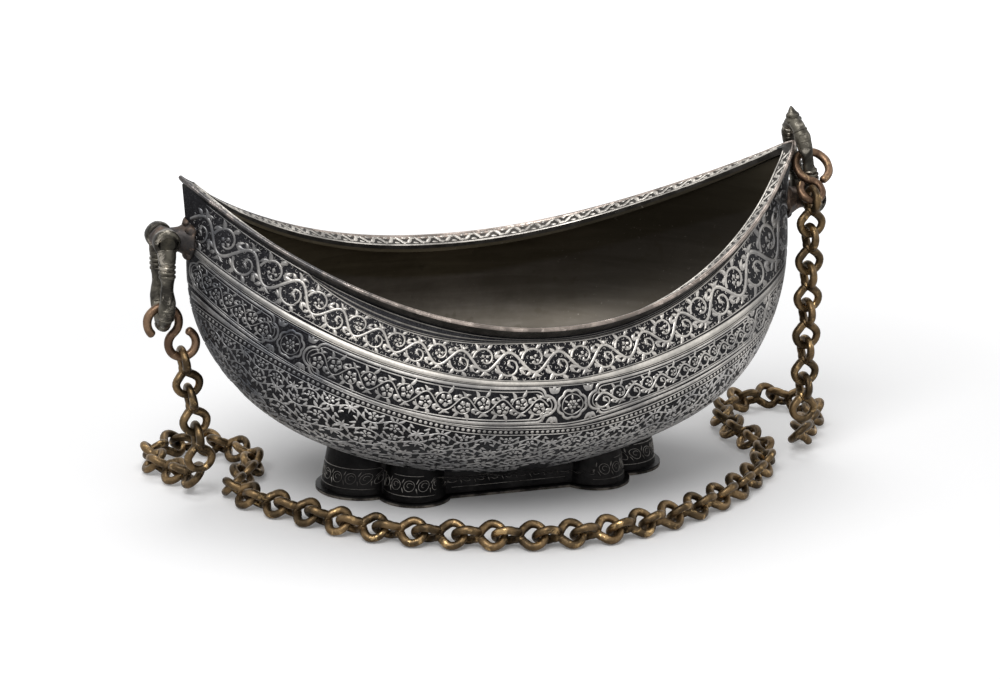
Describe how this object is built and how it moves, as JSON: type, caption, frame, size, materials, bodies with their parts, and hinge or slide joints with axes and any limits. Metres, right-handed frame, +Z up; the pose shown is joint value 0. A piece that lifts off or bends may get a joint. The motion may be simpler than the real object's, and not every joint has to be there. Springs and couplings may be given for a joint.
{
  "type": "kashkul begging bowl",
  "caption": "Boat-shaped engraved metal bowl on a lobed foot, with a flared rim, a pivoting cast bail at each prow, and a wire chain hooked to both bails and lying in front.",
  "frame": {"origin": "On the table, under the middle of the bowl and of its foot.", "axes": "+X runs from the middle to the right prow, whose bail stands up; +Z is up; -Y is the side with the chain in front, which the picture shows."},
  "size_m": [0.3707, 0.204, 0.1734],
  "materials": {
    "engraved_tin": "worn tinned copper: pale warm grey relief over dark chased ground, olive-brown inside",
    "foot_bronze": "darkened bronze with chased panels, nearly black, bright worn edge at the table",
    "lug_copper": "reddish copper with grey solder",
    "pin_brass": "dull worn brass",
    "cast_bronze": "grey-olive cast bronze, worn on the ridges",
    "hook_brass": "pinkish brown wire rubbed to gold",
    "chain_brass": "dark olive-brown brass wire with rubbed golden edges"
  },
  "bodies": {
    "bowl_and_foot": {"bowl": "engraved_tin", "foot_ring": "foot_bronze", "lug_left": "lug_copper", "lug_right": "lug_copper", "pivot_pin_left": "pin_brass", "pivot_pin_right": "pin_brass", "heap_left": "chain_brass", "chain_front": "chain_brass", "heap_right": "chain_brass"},
    "bail_left": {"bail_left": "cast_bronze"},
    "hook_left": {"hook_left": "hook_brass"},
    "bail_right": {"bail_right": "cast_bronze"},
    "hook_right": {"hook_right": "hook_brass"},
    "link_left_1": {"link_left_1": "chain_brass"},
    "link_left_2": {"link_left_2": "chain_brass"},
    "link_left_3": {"link_left_3": "chain_brass"},
    "link_right_1": {"link_right_1": "chain_brass"},
    "link_right_2": {"link_right_2": "chain_brass"},
    "link_right_3": {"link_right_3": "chain_brass"},
    "link_right_4": {"link_right_4": "chain_brass"},
    "link_right_5": {"link_right_5": "chain_brass"},
    "link_right_6": {"link_right_6": "chain_brass"}
  },
  "joints": [
    {"name": "bail_left_swing", "type": "hinge", "parent": "bowl_and_foot", "child": "bail_left", "pos_m": [-0.1635, 0, 0.1295], "axis": [0, 1, 0], "range_deg": [0, 130]},
    {"name": "hook_left_hang", "type": "hinge", "parent": "bail_left", "child": "hook_left", "pos_m": [-0.1635, 0, 0.0895], "axis": [0, 1, 0], "range_deg": [-130, 0]},
    {"name": "bail_right_swing", "type": "hinge", "parent": "bowl_and_foot", "child": "bail_right", "pos_m": [0.1635, 0, 0.1295], "axis": [0, 1, 0], "range_deg": [0, 60]},
    {"name": "hook_right_swivel", "type": "hinge", "parent": "bail_right", "child": "hook_right", "pos_m": [0.1635, -0.00885, 0.1295], "axis": [-0.2419, 0, 0.9703], "range_deg": [-10, 10]},
    {"name": "link_right_1_hang", "type": "hinge", "parent": "hook_right", "child": "link_right_1", "pos_m": [0.15642, -0.01834, 0.13747], "axis": [0, 1, 0], "range_deg": [-60, 0]},
    {"name": "link_left_1_swing", "type": "hinge", "parent": "hook_left", "child": "link_left_1", "pos_m": [-0.15412, 0, 0.07223], "axis": [1, 0, 0], "range_deg": [-20, 0]},
    {"name": "link_left_2_swing", "type": "hinge", "parent": "link_left_1", "child": "link_left_2", "pos_m": [-0.15079, 0.00005, 0.05342], "axis": [1, 0, 0], "range_deg": [-20, 0]},
    {"name": "link_left_3_swing", "type": "hinge", "parent": "link_left_2", "child": "link_left_3", "pos_m": [-0.14738, 0.00056, 0.03464], "axis": [1, 0, 0], "range_deg": [-20, 0]},
    {"name": "link_right_2_swing", "type": "hinge", "parent": "link_right_1", "child": "link_right_2", "pos_m": [0.15664, -0.02002, 0.11586], "axis": [1, 0, 0], "range_deg": [-20, 0]},
    {"name": "link_right_3_swing", "type": "hinge", "parent": "link_right_2", "child": "link_right_3", "pos_m": [0.15688, -0.01975, 0.09677], "axis": [1, 0, 0], "range_deg": [-20, 0]},
    {"name": "link_right_4_swing", "type": "hinge", "parent": "link_right_3", "child": "link_right_4", "pos_m": [0.15736, -0.01946, 0.07768], "axis": [1, 0, 0], "range_deg": [-20, 0]},
    {"name": "link_right_5_swing", "type": "hinge", "parent": "link_right_4", "child": "link_right_5", "pos_m": [0.15782, -0.01919, 0.05858], "axis": [1, 0, 0], "range_deg": [-20, 0]},
    {"name": "link_right_6_swing", "type": "hinge", "parent": "link_right_5", "child": "link_right_6", "pos_m": [0.15813, -0.01904, 0.03949], "axis": [1, 0, 0], "range_deg": [-20, 0]}
  ],
  "couplings": [
    {"joint": "hook_left_hang", "follows": "bail_left_swing", "ratio": -1},
    {"joint": "link_right_1_hang", "follows": "bail_right_swing", "ratio": -1}
  ]
}
